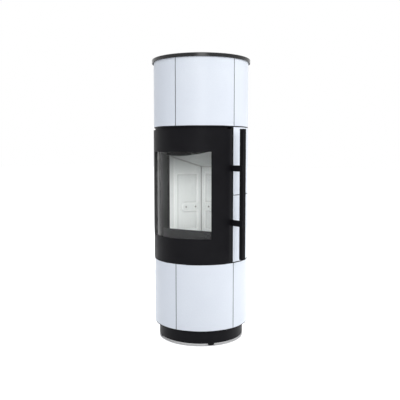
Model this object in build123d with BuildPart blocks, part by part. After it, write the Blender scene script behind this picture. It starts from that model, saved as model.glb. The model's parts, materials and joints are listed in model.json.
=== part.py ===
# Round tiled stove. Millimetres, +Z up, door towards -Y, origin on the floor in the middle of the stove.
# Angles go round the stove from the door's middle, positive towards +X.
import os
from math import asin, cos, degrees, hypot, radians, sin, sqrt

from build123d import *

os.makedirs("parts", exist_ok=True)

# How far a cutting solid runs past the face it cuts
cut_overrun = 10.0

# Tiles, which set the stove's width and height
tile_radius = 256.0
tile_thickness = 20.0
tile_joint = 2.0
tile_edge_round = 2.5
tile_pocket_depth = 8.0
tile_rim_width = 25.0
lower_tile_height = 348.0
middle_tile_height = 350.0
upper_tile_height = 348.0
sector_angle = 72.0
side_tile_start_angle = 70.8

# Base
floor_plate_thickness = 2.0
foot_radius = 16.0
foot_height = 13.0
foot_inset = 22.0
foot_count = 4
foot_start_angle = 45.0
foot_stem_radius = 5.9
foot_stem_length = 30.0
foot_hole_clearance = 0.4
plinth_setback = 25.0
plinth_height = 69.0
plinth_wall = 3.0
base_plate_thickness = 4.0
plinth_vent_width = 60.0
plinth_vent_height = 24.0
plinth_vent_count = 5
plinth_vent_step_angle = 22.0

# Shelves, posts and clips
shelf_setback = 1.5
shelf_thickness = 4.0
shelf_hole_inset = 8.0
post_depth = 10.0
post_width = 16.0
post_to_tile = 2.0
clip_width = 14.0
clip_height = 24.0
clip_inset = 30.0
clip_clearance = 0.2

# Rear cover
rear_cover_thickness = 1.5
rear_cover_gap = 0.3
rear_flange_angle = 2.3
rear_flange_to_post = 0.3
louvre_width = 150.0
louvre_height = 7.0
louvre_pitch = 18.0
louvre_count = 5
rear_screw_angle = 1.4
rear_screw_count = 7
rear_screw_end_inset = 45.0
rear_screw_gap = 0.5

# Top cover
cover_overhang = 9.0
cover_thickness = 4.0
cover_edge_height = 19.0
cover_edge_wall = 3.0
cover_edge_round = 2.5
cover_above_tiles = 7.0
top_ring_inset = 6.0
top_ring_width = 28.0
top_ring_thickness = 4.0
cover_hole_gap = 6.5
cover_slot_length = 70.0
cover_slot_width = 9.0
cover_slot_to_hole = 30.0
cover_slot_count = 24

# Pedestal and air valve
pedestal_radius = 150.0
pedestal_wall = 3.0
valve_disc_margin = 7.0
valve_disc_thickness = 2.0
valve_gap = 0.2
valve_hole_radius = 14.0
valve_hole_circle = 55.0
valve_hole_count = 6
valve_bolt_radius = 5.0
valve_bolt_head_radius = 9.0
valve_bolt_head_height = 3.0
valve_nut_height = 4.0
valve_bolt_end = 2.0
running_clearance = 0.06
air_lever_angle = -95.0
air_lever_travel_angle = 30.0
air_lever_width = 14.0
air_lever_thickness = 2.5
air_lever_start = 20.0
air_lever_overhang = 15.0
air_knob_radius = 4.5
air_knob_length = 11.0
air_knob_round = 1.5
lever_slot_margin = 4.0
lever_slot_height = 10.0
base_vent_length = 40.0
base_vent_width = 12.0
base_vent_count = 12
hearth_vent_radius = 7.0
hearth_vent_inset = 15.0
hearth_vent_step_angle = 8.0
hearth_vents_each_side = 3

# Door
door_proud = 2.0
door_wall = 4.0
door_bend_angle = 65.3
door_half_angle = 69.2
door_bend_drop = 2.5
door_return_depth = 14.0
door_return_angle = 0.7
door_bottom_gap = 1.3
door_top_gap = 2.0
lintel_to_door = 6.0
lintel_wall = 4.0
lintel_height = 9.0
lintel_half_angle = 63.0
window_half_angle = 42.5
window_sill = 127.7
window_head = 117.0
inner_frame_wall = 4.7
inner_frame_fit = 0.3
inner_frame_half_angle = 62.0
inner_frame_lift = 4.7
inner_frame_above_window = 46.0
rib_depth = 13.0
rib_to_front = 6.0
rib_half_angle = 60.0
rib_width_angle = 4.6
rib_width = 13.0
rib_bottom_inset = 1.0
rib_top_inset = 6.0
rope_radius = 4.0
rope_to_front = 0.6
rope_clearance = 0.3
glass_thickness = 4.0
glass_overlap_angle = 4.0
glass_overlap = 18.0
glass_edge_clearance_angle = 1.0
glass_edge_clearance = 4.0
tape_thickness = 1.9
tape_clearance = 0.3
tape_inset_angle = 0.7
tape_inset = 3.0
glass_clip_count = 3
glass_clip_pitch = 170.0
glass_clip_first_angle = 45.0
glass_clip_last_angle = 50.5
glass_clip_foot_angle = 48.4
glass_clip_thickness = 2.9
glass_clip_gap = 0.3
glass_clip_height = 18.0
clip_screw_angle = 49.5
clip_screw_radius = 2.0
clip_screw_head_radius = 4.0
clip_screw_head_height = 2.4
clip_screw_length = 8.0
screw_socket_radius = 2.3
screw_socket_depth = 1.4
screw_clearance = 0.1
hinge_inset = 11.0
hinge_angle = 66.5
hinge_pin_radius = 4.0
hinge_pin_length = 32.0
hinge_collar_radius = 6.5
hinge_collar_height = 1.0
hinge_block_wall = 2.0
hinge_block_height = 35.0
hinge_block_first_angle = 62.6
hinge_block_last_angle = 67.9
catch_spread = 280.0
catch_angle = 61.3
catch_ball_radius = 4.0
catch_neck_length = 10.0
catch_neck_radius = 2.0
catch_leaf_gap = 0.3
catch_leaf_thickness = 1.0
catch_leaf_width = 7.0
catch_leaf_reach = 12.0
catch_base_thickness = 1.2

# Handle
handle_angle = 70.0
handle_gap = 60.0
handle_depth = 25.0
handle_width = 21.0
handle_bottom_inset = 22.7
handle_top_inset = 2.0
handle_edge_round = 1.5
bracket_thickness = 4.0
bracket_height = 31.0
lower_bracket_inset = 186.0
upper_bracket_inset = 198.5

# Firebox
shell_air_gap = 14.7
shell_wall = 4.0
shell_headroom = 42.0
lining_thickness = 25.0
lining_clearance = 0.3
lining_front = 41.0
lining_front_gap = 1.0
lining_corner_gap = 3.0
chamber_corner_angle = 30.0
front_wall = 4.0
front_half_angle = 68.5
weld_gap = 0.1
mouth_half_angle = 44.0
mouth_below_window = 13.0
mouth_above_window = 18.0
floor_below_mouth = 10.0
floor_thickness = 10.0
floor_fit = 0.3
grate_radius = 69.5
grate_thickness = 5.0
grate_clearance = 0.5
grate_ledge = 9.0
grate_offset = 30.0
grate_slot_width = 6.0
grate_slot_pitch = 14.0
grate_slot_count = 7
cheek_thickness = 4.0
cheek_front_angle = 44.3
cheek_to_front = 2.4
cheek_gap = 0.5
guard_to_cheek = 7.0
guard_setback = 10.0
guard_height = 56.0
guard_thickness = 3.0
guard_return = 25.0
baffle_back_drop = 101.0
baffle_slope = 0.355
baffle_thickness = 28.0
baffle_front = 70.0
baffle_fit = 0.8
upper_baffle_headroom = 44.0
upper_baffle_thickness = 3.0
upper_baffle_front = 110.0
upper_baffle_back = 80.0
deflector_thickness = 3.6
deflector_below_window_top = 21.0
deflector_above_mouth = 28.0
deflector_edge_radius = 500.0
deflector_half_angle = 42.0
ledge_width = 15.0
ledge_height = 10.0
ledge_length = 70.0
recess_depth = 6.0
recess_draft_angle = 55.0
recess_side_margin = 22.0
recess_bottom_margin = 19.0
recess_top_margin = 38.0
recess_corner_radius = 12.0
boss_above_floor = 152.0
boss_height = 44.0
boss_length = 102.0
air_hole_radius = 3.5
air_hole_inset = 38.0
air_hole_spacing = 62.0
back_hole_spacing = 80.0

# Ash pan
ash_door_half_angle = 36.5
ash_mouth_drop = 1.0
ash_mouth_headroom = 5.0
ash_pan_half_width = 120.0
ash_pan_setback = 31.4
ash_pan_back = 100.0
ash_pan_headroom = 11.0
ash_pan_wall = 1.5
ash_pan_lip = 14.0
ash_rail_height = 22.0
ash_rail_width = 10.0
ash_rail_inset = 20.0

# Flue
flue_tube_radius = 75.0
flue_tube_wall = 3.0
flue_pipe_clearance = 0.5
flue_socket_wall = 3.0
flue_socket_depth = 60.0
flue_socket_drop = 5.0

# Radii that follow from the sizes above, from the tiles inwards and then down the door
shelf_radius = tile_radius - shelf_setback
cover_radius = tile_radius + cover_overhang
plinth_radius = tile_radius - plinth_setback
foot_circle_radius = plinth_radius - foot_inset
base_vent_circle = (pedestal_radius + plinth_radius) / 2
tile_inner_radius = tile_radius - tile_thickness
post_outer_radius = tile_inner_radius - post_to_tile
post_inner_radius = post_outer_radius - post_depth
upper_shelf_hole_radius = post_inner_radius - shelf_hole_inset
hearth_vent_circle = tile_inner_radius - hearth_vent_inset
top_ring_outer_radius = tile_radius - top_ring_inset
top_ring_inner_radius = top_ring_outer_radius - top_ring_width
valve_disc_radius = valve_hole_circle + valve_hole_radius + valve_disc_margin
air_lever_reach = plinth_radius + air_lever_overhang
door_radius = tile_radius + door_proud
door_inner_radius = door_radius - door_wall
door_return_radius = door_radius - door_return_depth
lintel_radius = door_inner_radius - lintel_to_door
glass_outer_radius = door_inner_radius - tape_thickness - 2 * tape_clearance
glass_inner_radius = glass_outer_radius - glass_thickness
inner_frame_outer_radius = door_inner_radius - inner_frame_fit
inner_frame_radius = inner_frame_outer_radius - inner_frame_wall
rib_face_radius = inner_frame_radius - rib_depth
front_outer_radius = rib_face_radius - rib_to_front
front_inner_radius = front_outer_radius - front_wall
shell_radius = front_inner_radius - weld_gap
catch_ball_circle = inner_frame_radius - catch_neck_length
hinge_radius = door_radius - hinge_inset
hinge_block_inner_radius = hinge_radius - hinge_pin_radius - hinge_block_wall
flue_socket_radius = flue_tube_radius + flue_pipe_clearance
cover_hole_radius = flue_socket_radius + flue_socket_wall + cover_hole_gap
cover_slot_circle = cover_hole_radius + cover_slot_to_hole + cover_slot_length / 2
screw_hole_radius = clip_screw_radius + screw_clearance

# Levels that follow
plinth_bottom = floor_plate_thickness + foot_height
plinth_top = plinth_bottom + plinth_height
base_top = plinth_top + base_plate_thickness
hearth_bottom = base_top + lower_tile_height
hearth_top = hearth_bottom + shelf_thickness
upper_shelf_bottom = hearth_top + 2 * middle_tile_height + tile_joint
upper_shelf_top = upper_shelf_bottom + shelf_thickness
tiles_top = upper_shelf_top + upper_tile_height
cover_bottom = tiles_top + cover_above_tiles
cover_top = cover_bottom + cover_thickness
socket_top = cover_top - flue_socket_drop
door_bottom = hearth_top + door_bottom_gap
door_top = upper_shelf_bottom - lintel_height - door_top_gap
door_height = door_top - door_bottom
window_bottom = door_bottom + window_sill
window_top = door_top - window_head
glass_bottom = window_bottom - glass_overlap
glass_top = window_top + glass_overlap
inner_frame_bottom = door_bottom + inner_frame_lift
inner_frame_top = window_top + inner_frame_above_window
rib_bottom = inner_frame_bottom + rib_bottom_inset
rib_top = inner_frame_top - rib_top_inset
handle_bottom = door_bottom + handle_bottom_inset
handle_top = door_top - handle_top_inset
shell_top = upper_shelf_bottom - shell_headroom
mouth_bottom = window_bottom - mouth_below_window
mouth_top = window_top + mouth_above_window
floor_level = mouth_bottom - floor_below_mouth
baffle_back_level = mouth_top - baffle_back_drop
upper_baffle_level = shell_top - upper_baffle_headroom
deflector_low_edge = window_top - deflector_below_window_top
deflector_top_edge = mouth_top + deflector_above_mouth
boss_level = floor_level + boss_above_floor
recess_top_level = baffle_back_level - recess_top_margin
pan_bottom = hearth_top + ash_rail_height
ash_mouth_bottom = pan_bottom - ash_mouth_drop
ash_mouth_top = floor_level - floor_thickness - ash_mouth_headroom

# Plan of the fire chamber: the back half of a hexagon, inside the linings
chamber_radius = (
    post_inner_radius - shell_air_gap - shell_wall - lining_clearance - lining_thickness
)
chamber_back_half_width = chamber_radius * sin(radians(chamber_corner_angle))
chamber_back = chamber_radius * cos(radians(chamber_corner_angle))
cheek_front_radius = shell_radius - cheek_to_front
cheek_front_half_width = cheek_front_radius * sin(radians(cheek_front_angle))
cheek_front = cheek_front_radius * cos(radians(cheek_front_angle))
guard_half_width = cheek_front_half_width - guard_to_cheek
guard_front = cheek_front - guard_setback
ash_pan_front = sqrt(shell_radius**2 - ash_pan_half_width**2) - ash_pan_setback
glass_half_angle = window_half_angle + glass_overlap_angle
front_direction = -90.0
baffle_plane = Plane(
    origin=(0, chamber_back, baffle_back_level), x_dir=(1, 0, 0), z_dir=(0, baffle_slope, 1)
)

window_middle = (window_bottom + window_top) / 2
middle_clip = (glass_clip_count - 1) / 2
clip_levels = [
    window_middle + glass_clip_pitch * (number - middle_clip) for number in range(glass_clip_count)
]
catch_levels = (window_middle - catch_spread / 2, window_middle + catch_spread / 2)
bracket_levels = (handle_bottom + lower_bracket_inset, handle_top - upper_bracket_inset)


def around(radius, angle):
    """Point at a radius and an angle from the door's middle."""
    return (radius * sin(radians(angle)), -radius * cos(radians(angle)))


def facing(radius, angle, level):
    """Place on the stove's outside: local -Y points outwards and local +X runs to the right."""
    x, y = around(radius, angle)
    return Location((x, y, level), (0, 0, angle))


def ring_sector(inner_radius, outer_radius, first_angle, last_angle, level):
    """Flat face between two arcs and two radial lines."""
    span = last_angle - first_angle
    with BuildSketch(Plane.XY.offset(level)) as face:
        with BuildLine():
            outer = CenterArc((0, 0), outer_radius, front_direction + first_angle, span)
            inner = CenterArc((0, 0), inner_radius, front_direction + first_angle, span)
            Line(outer @ 0, inner @ 0)
            Line(outer @ 1, inner @ 1)
        make_face()
    return face.sketch


def curved_panel(inner_radius, outer_radius, first_angle, last_angle, bottom, top):
    """Piece of a cylinder wall."""
    with BuildPart() as panel:
        extrude(ring_sector(inner_radius, outer_radius, first_angle, last_angle, bottom), amount=top - bottom)
    return panel.part


def curved_frame(inner_radius, outer_radius, half_angle, bottom, top, side_angle, band):
    """Curved panel with a middle opening, left as a frame."""
    with BuildPart() as frame:
        add(curved_panel(inner_radius, outer_radius, -half_angle, half_angle, bottom, top))
        add(
            curved_panel(
                inner_radius - cut_overrun,
                outer_radius + cut_overrun,
                side_angle - half_angle,
                half_angle - side_angle,
                bottom + band,
                top - band,
            ),
            mode=Mode.SUBTRACT,
        )
    return frame.part


def tube(inner_radius, outer_radius, bottom, top):
    """Upright tube on the stove's axis."""
    with BuildPart() as pipe:
        with BuildSketch(Plane.XY.offset(bottom)):
            Circle(outer_radius)
            Circle(inner_radius, mode=Mode.SUBTRACT)
        extrude(amount=top - bottom)
    return pipe.part


def drive_socket():
    """Hexagon socket, sunk into a screw head from the face it is placed on."""
    with BuildPart() as socket:
        with BuildSketch(Plane.XZ):
            RegularPolygon(screw_socket_radius, 6)
        extrude(amount=screw_socket_depth, both=True)
    return socket.part


def chamber_outline(growth, level):
    """Plan of the fire chamber, grown outwards and cut round behind the front plate."""
    back_corners = [(-chamber_back_half_width, chamber_back), (chamber_back_half_width, chamber_back)]
    side_corners = [(chamber_radius, 0), (chamber_radius, -front_inner_radius)]
    far_corners = [(-chamber_radius, -front_inner_radius), (-chamber_radius, 0)]
    with BuildSketch(Plane.XY.offset(level)) as plan:
        with BuildLine():
            Polyline(*back_corners, *side_corners, *far_corners, close=True)
        make_face()
        offset(amount=growth, kind=Kind.INTERSECTION)
        Circle(shell_radius, mode=Mode.INTERSECT)
    return plan.sketch


def finish(piece, label):
    """Name a piece and write it out."""
    piece.part.label = label
    export_step(piece.part, f"parts/{label}.step")


# Base

with BuildPart() as floor_plate:
    Cylinder(plinth_radius, floor_plate_thickness, align=(Align.CENTER, Align.CENTER, Align.MIN))
finish(floor_plate, "floor_plate")

with BuildPart() as levelling_feet:
    with BuildSketch(Plane.XY.offset(floor_plate_thickness)):
        with PolarLocations(foot_circle_radius, foot_count, start_angle=foot_start_angle):
            Circle(foot_radius)
    extrude(amount=foot_height)
    with BuildSketch(Plane.XY.offset(plinth_bottom)):
        with PolarLocations(foot_circle_radius, foot_count, start_angle=foot_start_angle):
            Circle(foot_stem_radius)
    extrude(amount=foot_stem_length)
finish(levelling_feet, "levelling_feet")

with BuildPart() as plinth:
    add(tube(plinth_radius - plinth_wall, plinth_radius, plinth_bottom, plinth_top))
    with BuildSketch(Plane.XY.offset(plinth_bottom)):
        Circle(plinth_radius - plinth_wall)
        Circle(pedestal_radius / 2, mode=Mode.SUBTRACT)
        with PolarLocations(foot_circle_radius, foot_count, start_angle=foot_start_angle):
            Circle(foot_stem_radius + foot_hole_clearance, mode=Mode.SUBTRACT)
    extrude(amount=plinth_wall)
    for number in range(plinth_vent_count):
        vent_angle = 180 + plinth_vent_step_angle * (number - (plinth_vent_count - 1) / 2)
        with Locations(facing(plinth_radius, vent_angle, (plinth_bottom + plinth_top) / 2)):
            Box(plinth_vent_width, 2 * cut_overrun, plinth_vent_height, mode=Mode.SUBTRACT)
    lever_half_angle = degrees(asin((air_lever_width / 2 + lever_slot_margin) / plinth_radius))
    add(
        curved_panel(
            plinth_radius - 2 * plinth_wall,
            plinth_radius + plinth_wall,
            air_lever_angle - lever_half_angle,
            air_lever_angle + air_lever_travel_angle + lever_half_angle,
            plinth_top - lever_slot_height,
            plinth_top,
        ),
        mode=Mode.SUBTRACT,
    )
finish(plinth, "plinth")

with BuildPart() as base_plate:
    with BuildSketch(Plane.XY.offset(plinth_top)):
        Circle(shelf_radius)
        Circle(valve_bolt_radius + screw_clearance, mode=Mode.SUBTRACT)
        with PolarLocations(valve_hole_circle, valve_hole_count):
            Circle(valve_hole_radius, mode=Mode.SUBTRACT)
        with PolarLocations(base_vent_circle, base_vent_count):
            SlotOverall(base_vent_length, base_vent_width, mode=Mode.SUBTRACT)
    extrude(amount=base_plate_thickness)
finish(base_plate, "base_plate")

with BuildPart() as pedestal_shell:
    add(tube(pedestal_radius - pedestal_wall, pedestal_radius, base_top, hearth_bottom))
finish(pedestal_shell, "pedestal_shell")

# Air valve under the base plate

valve_disc_top = plinth_top - valve_gap
valve_disc_bottom = valve_disc_top - valve_disc_thickness
lever_bottom = valve_disc_bottom - air_lever_thickness

with BuildPart() as valve_disc:
    with BuildSketch(Plane.XY.offset(valve_disc_bottom)):
        Circle(valve_disc_radius)
        Circle(valve_bolt_radius + running_clearance, mode=Mode.SUBTRACT)
        with PolarLocations(valve_hole_circle, valve_hole_count):
            Circle(valve_hole_radius, mode=Mode.SUBTRACT)
    extrude(amount=valve_disc_thickness)
finish(valve_disc, "valve_disc")

with BuildPart() as valve_bolt:
    bolt_head_top = valve_disc_bottom - valve_gap
    with BuildSketch(Plane.XY.offset(bolt_head_top - valve_bolt_head_height)):
        Circle(valve_bolt_head_radius)
    extrude(amount=valve_bolt_head_height)
    with BuildSketch(Plane.XY.offset(bolt_head_top)):
        Circle(valve_bolt_radius)
    extrude(amount=base_top + valve_nut_height + valve_bolt_end - bolt_head_top)
    with BuildSketch(Plane.XY.offset(base_top)):
        RegularPolygon(valve_bolt_head_radius, 6)
    extrude(amount=valve_nut_height)
finish(valve_bolt, "valve_bolt")

with BuildPart() as air_lever:
    lever_length = air_lever_reach - air_lever_start
    with Locations(facing(air_lever_start + lever_length / 2, air_lever_angle, lever_bottom)):
        Box(air_lever_width, lever_length, air_lever_thickness, align=(Align.CENTER, Align.CENTER, Align.MIN))
finish(air_lever, "air_lever")

with BuildPart() as air_knob:
    knob_middle = facing(
        air_lever_reach - air_knob_length / 2, air_lever_angle, lever_bottom - air_knob_radius
    )
    with Locations(knob_middle):
        Cylinder(air_knob_radius, air_knob_length, rotation=(90, 0, 0))
    fillet(air_knob.edges(), radius=air_knob_round)
finish(air_knob, "air_knob")

# Shelves, posts and tiles

post_angles = (-2 * sector_angle, -sector_angle, sector_angle, 2 * sector_angle)
vent_angles = []
for middle in (-1.5 * sector_angle, 1.5 * sector_angle, 2.5 * sector_angle):
    for step in range(-hearth_vents_each_side, hearth_vents_each_side + 1):
        vent_angles.append(middle + hearth_vent_step_angle * step)

with BuildPart() as hearth_base:
    with BuildSketch(Plane.XY.offset(hearth_bottom)):
        Circle(shelf_radius)
        with PolarLocations(valve_hole_circle, valve_hole_count):
            Circle(valve_hole_radius, mode=Mode.SUBTRACT)
        with Locations([around(hearth_vent_circle, angle) for angle in vent_angles]):
            Circle(hearth_vent_radius, mode=Mode.SUBTRACT)
    extrude(amount=shelf_thickness)
finish(hearth_base, "hearth_base")

with BuildPart() as upper_shelf:
    add(tube(upper_shelf_hole_radius, shelf_radius, upper_shelf_bottom, upper_shelf_top))
    add(
        curved_panel(
            lintel_radius - lintel_wall,
            lintel_radius,
            -lintel_half_angle,
            lintel_half_angle,
            upper_shelf_bottom - lintel_height,
            upper_shelf_bottom,
        )
    )
finish(upper_shelf, "upper_shelf")

tile_rows = {
    "lower": (base_top, hearth_bottom),
    "middle_low": (hearth_top, hearth_top + middle_tile_height),
    "middle_high": (hearth_top + middle_tile_height + tile_joint, upper_shelf_bottom),
    "upper": (upper_shelf_top, tiles_top),
}
post_spans = (
    (base_top, hearth_bottom, (0, *post_angles)),
    (hearth_top, upper_shelf_bottom, post_angles),
    (upper_shelf_top, cover_bottom - top_ring_thickness, (0, *post_angles)),
)

with BuildPart() as tile_posts:
    for bottom, top, angles in post_spans:
        with Locations([facing(post_outer_radius - post_depth / 2, a, bottom) for a in angles]):
            Box(post_width, post_depth, top - bottom, align=(Align.CENTER, Align.CENTER, Align.MIN))
finish(tile_posts, "tile_posts")

with BuildPart() as tile_clips:
    clip_depth = post_to_tile - 2 * clip_clearance
    for row, (bottom, top) in tile_rows.items():
        clip_angles = post_angles if row.startswith("middle") else (0, *post_angles)
        for level in (bottom + clip_inset, top - clip_inset):
            with Locations([facing(post_outer_radius + post_to_tile / 2, a, level) for a in clip_angles]):
                Box(clip_width, clip_depth, clip_height)
finish(tile_clips, "tile_clips")

joint_angle = degrees(tile_joint / 2 / tile_radius)
rim_angle = degrees(tile_rim_width / tile_radius)


def tile(first_angle, last_angle, bottom, top):
    """Hollow-backed tile with rounded front edges."""
    with BuildPart() as body:
        add(
            curved_panel(
                tile_inner_radius,
                tile_radius,
                first_angle + joint_angle,
                last_angle - joint_angle,
                bottom,
                top,
            )
        )
        front_face = body.faces().filter_by(GeomType.CYLINDER).sort_by(lambda face: face.area)[-1]
        fillet(front_face.edges(), radius=tile_edge_round)
        add(
            curved_panel(
                tile_inner_radius - cut_overrun,
                tile_inner_radius + tile_pocket_depth,
                first_angle + rim_angle,
                last_angle - rim_angle,
                bottom + tile_rim_width,
                top - tile_rim_width,
            ),
            mode=Mode.SUBTRACT,
        )
    return body


for row, (bottom, top) in tile_rows.items():
    first = side_tile_start_angle if row.startswith("middle") else sector_angle
    finish(tile(first, 2 * sector_angle, bottom, top), f"{row}_tile_right")
    finish(tile(-2 * sector_angle, -first, bottom, top), f"{row}_tile_left")
    if not row.startswith("middle"):
        finish(tile(0, sector_angle, bottom, top), f"{row}_tile_front_right")
        finish(tile(-sector_angle, 0, bottom, top), f"{row}_tile_front_left")

# Rear cover

rear_first = 2 * sector_angle + joint_angle
rear_last = 360 - 2 * sector_angle - joint_angle
rear_inner_radius = shelf_radius + rear_cover_gap
rear_outer_radius = rear_inner_radius + rear_cover_thickness
flange_span = degrees(rear_cover_thickness / rear_outer_radius)
flange_radius = post_outer_radius + rear_flange_to_post
screw_angles = (2 * sector_angle + rear_screw_angle, 360 - 2 * sector_angle - rear_screw_angle)
screw_step = (tiles_top - base_top - 2 * rear_screw_end_inset) / (rear_screw_count - 1)
rear_screw_places = []
for angle in screw_angles:
    for number in range(rear_screw_count):
        rear_screw_places.append((angle, base_top + rear_screw_end_inset + number * screw_step))

with BuildPart() as rear_cover:
    add(curved_panel(rear_inner_radius, rear_outer_radius, rear_first, rear_last, base_top, tiles_top))
    rear_spans = ((base_top, hearth_bottom), (hearth_top, upper_shelf_bottom), (upper_shelf_top, tiles_top))
    for first in (rear_first + rear_flange_angle, rear_last - rear_flange_angle - flange_span):
        for bottom, top in rear_spans:
            add(curved_panel(flange_radius, rear_inner_radius, first, first + flange_span, bottom, top))
    for bottom, top in rear_spans:
        for number in range(louvre_count):
            level = (bottom + top) / 2 + louvre_pitch * (number - (louvre_count - 1) / 2)
            with Locations(facing(rear_outer_radius, 180, level)):
                Box(louvre_width, 3 * cut_overrun, louvre_height, mode=Mode.SUBTRACT)
    for angle, level in rear_screw_places:
        with Locations(facing(rear_outer_radius, angle, level)):
            Cylinder(screw_hole_radius, cut_overrun, rotation=(90, 0, 0), mode=Mode.SUBTRACT)
finish(rear_cover, "rear_cover")

with BuildPart() as rear_cover_screws:
    shank_length = rear_outer_radius + screw_clearance - post_outer_radius - rear_screw_gap
    rear_head_radius = rear_outer_radius + screw_clearance + clip_screw_head_height / 2
    for angle, level in rear_screw_places:
        with Locations(facing(rear_head_radius, angle, level)):
            Cylinder(clip_screw_head_radius, clip_screw_head_height, rotation=(90, 0, 0))
        with Locations(facing(post_outer_radius + rear_screw_gap + shank_length / 2, angle, level)):
            Cylinder(clip_screw_radius, shank_length, rotation=(90, 0, 0))
        with Locations(facing(rear_head_radius + clip_screw_head_height / 2, angle, level)):
            add(drive_socket(), mode=Mode.SUBTRACT)
finish(rear_cover_screws, "rear_cover_screws")

# Top

with BuildPart() as top_ring:
    add(tube(top_ring_inner_radius, top_ring_outer_radius, cover_bottom - top_ring_thickness, cover_bottom))
finish(top_ring, "top_ring")

with BuildPart() as top_cover:
    with BuildSketch(Plane.XY.offset(cover_bottom)):
        Circle(cover_radius)
        Circle(cover_hole_radius, mode=Mode.SUBTRACT)
        with PolarLocations(cover_slot_circle, cover_slot_count):
            SlotOverall(cover_slot_length, cover_slot_width, mode=Mode.SUBTRACT)
    extrude(amount=cover_thickness)
    add(tube(cover_radius - cover_edge_wall, cover_radius, cover_top - cover_edge_height, cover_bottom))
    rim_circles = top_cover.edges().filter_by(GeomType.CIRCLE).sort_by(lambda edge: edge.length)
    fillet(rim_circles.filter_by_position(Axis.Z, cover_top, cover_top)[-1], radius=cover_edge_round)
finish(top_cover, "top_cover")

with BuildPart() as flue_collar:
    socket_bottom = socket_top - flue_socket_depth
    tube_bore = flue_tube_radius - flue_tube_wall
    add(tube(tube_bore, flue_tube_radius, shell_top + shell_wall, socket_bottom))
    socket_outer_radius = flue_socket_radius + flue_socket_wall
    add(tube(tube_bore, socket_outer_radius, socket_bottom - flue_socket_wall, socket_bottom))
    add(tube(flue_socket_radius, socket_outer_radius, socket_bottom, socket_top))
finish(flue_collar, "flue_collar")

# Firebox

shell_growth = lining_thickness + lining_clearance

with BuildPart() as firebox_shell:
    extrude(chamber_outline(shell_growth + shell_wall, hearth_top), amount=shell_top - hearth_top)
    extrude(
        chamber_outline(shell_growth, hearth_top), amount=shell_top - hearth_top, mode=Mode.SUBTRACT
    )
    extrude(chamber_outline(shell_growth + shell_wall, shell_top), amount=shell_wall)
    with Locations((0, 0, shell_top)):
        Cylinder(flue_tube_radius - flue_tube_wall, 4 * shell_wall, mode=Mode.SUBTRACT)
finish(firebox_shell, "firebox_shell")

with BuildPart() as firebox_front:
    add(
        curved_panel(
            front_inner_radius,
            front_outer_radius,
            -front_half_angle,
            front_half_angle,
            hearth_top,
            upper_shelf_bottom,
        )
    )
    mouths = (
        (mouth_half_angle, mouth_bottom, mouth_top),
        (ash_door_half_angle, ash_mouth_bottom, ash_mouth_top),
    )
    for half_angle, bottom, top in mouths:
        cutter = curved_panel(
            front_inner_radius - cut_overrun,
            front_outer_radius + cut_overrun,
            -half_angle,
            half_angle,
            bottom,
            top,
        )
        add(cutter, mode=Mode.SUBTRACT)
finish(firebox_front, "firebox_front")

with BuildPart() as support_rails:
    ledge_centre = chamber_radius + shell_growth - ledge_width / 2
    for top in (floor_level - floor_thickness, upper_baffle_level):
        for side in (-1, 1):
            with Locations((side * ledge_centre, -ledge_length / 2, top - ledge_height / 2)):
                Box(ledge_width, ledge_length, ledge_height)
    rail_length = ash_pan_front + ash_pan_back
    rail_middle = (ash_pan_back - ash_pan_front) / 2
    for side in (-1, 1):
        with Locations((side * (ash_pan_half_width - ash_rail_inset), rail_middle, hearth_top)):
            Box(
                ash_rail_width,
                rail_length,
                ash_rail_height,
                align=(Align.CENTER, Align.CENTER, Align.MIN),
            )
finish(support_rails, "support_rails")

with BuildPart() as firebox_floor:
    extrude(
        chamber_outline(shell_growth - floor_fit, floor_level - floor_thickness), amount=floor_thickness
    )
    with BuildSketch(Plane.XY.offset(floor_level - floor_thickness)):
        with Locations((0, grate_offset)):
            Circle(grate_radius - grate_ledge)
    extrude(amount=floor_thickness, mode=Mode.SUBTRACT)
    with BuildSketch(Plane.XY.offset(floor_level)):
        with Locations((0, grate_offset)):
            Circle(grate_radius + grate_clearance)
    extrude(amount=-grate_thickness, mode=Mode.SUBTRACT)
finish(firebox_floor, "firebox_floor")

with BuildPart() as grate:
    with BuildSketch(Plane.XY.offset(floor_level - grate_thickness)):
        with Locations((0, grate_offset)):
            Circle(grate_radius)
        for number in range(grate_slot_count):
            slot_offset = grate_slot_pitch * (number - (grate_slot_count - 1) / 2)
            slot_length = 2 * sqrt((grate_radius - grate_ledge) ** 2 - slot_offset**2) - grate_ledge
            with Locations((0, grate_offset + slot_offset)):
                SlotOverall(slot_length, grate_slot_width, mode=Mode.SUBTRACT)
    extrude(amount=grate_thickness)
finish(grate, "grate")

with BuildPart() as firebox_cheeks:
    cheek_back = lining_front + cheek_gap
    for side in (-1, 1):
        cheek_run = hypot(chamber_radius - cheek_front_half_width, cheek_front - cheek_back)
        across = side * cheek_thickness * (cheek_front - cheek_back) / cheek_run
        along = cheek_thickness * (chamber_radius - cheek_front_half_width) / cheek_run
        with BuildSketch(Plane.XY.offset(floor_level)):
            with BuildLine():
                Polyline(
                    (side * cheek_front_half_width, -cheek_front),
                    (side * chamber_radius, -cheek_back),
                    (side * chamber_radius + across, -cheek_back - along),
                    (side * cheek_front_half_width + across, -cheek_front - along),
                    close=True,
                )
            make_face()
            Circle(shell_radius, mode=Mode.INTERSECT)
        extrude(amount=mouth_top - floor_level)
    split(bisect_by=baffle_plane.offset(-cheek_gap), keep=Keep.BOTTOM)
finish(firebox_cheeks, "firebox_cheeks")


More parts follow.
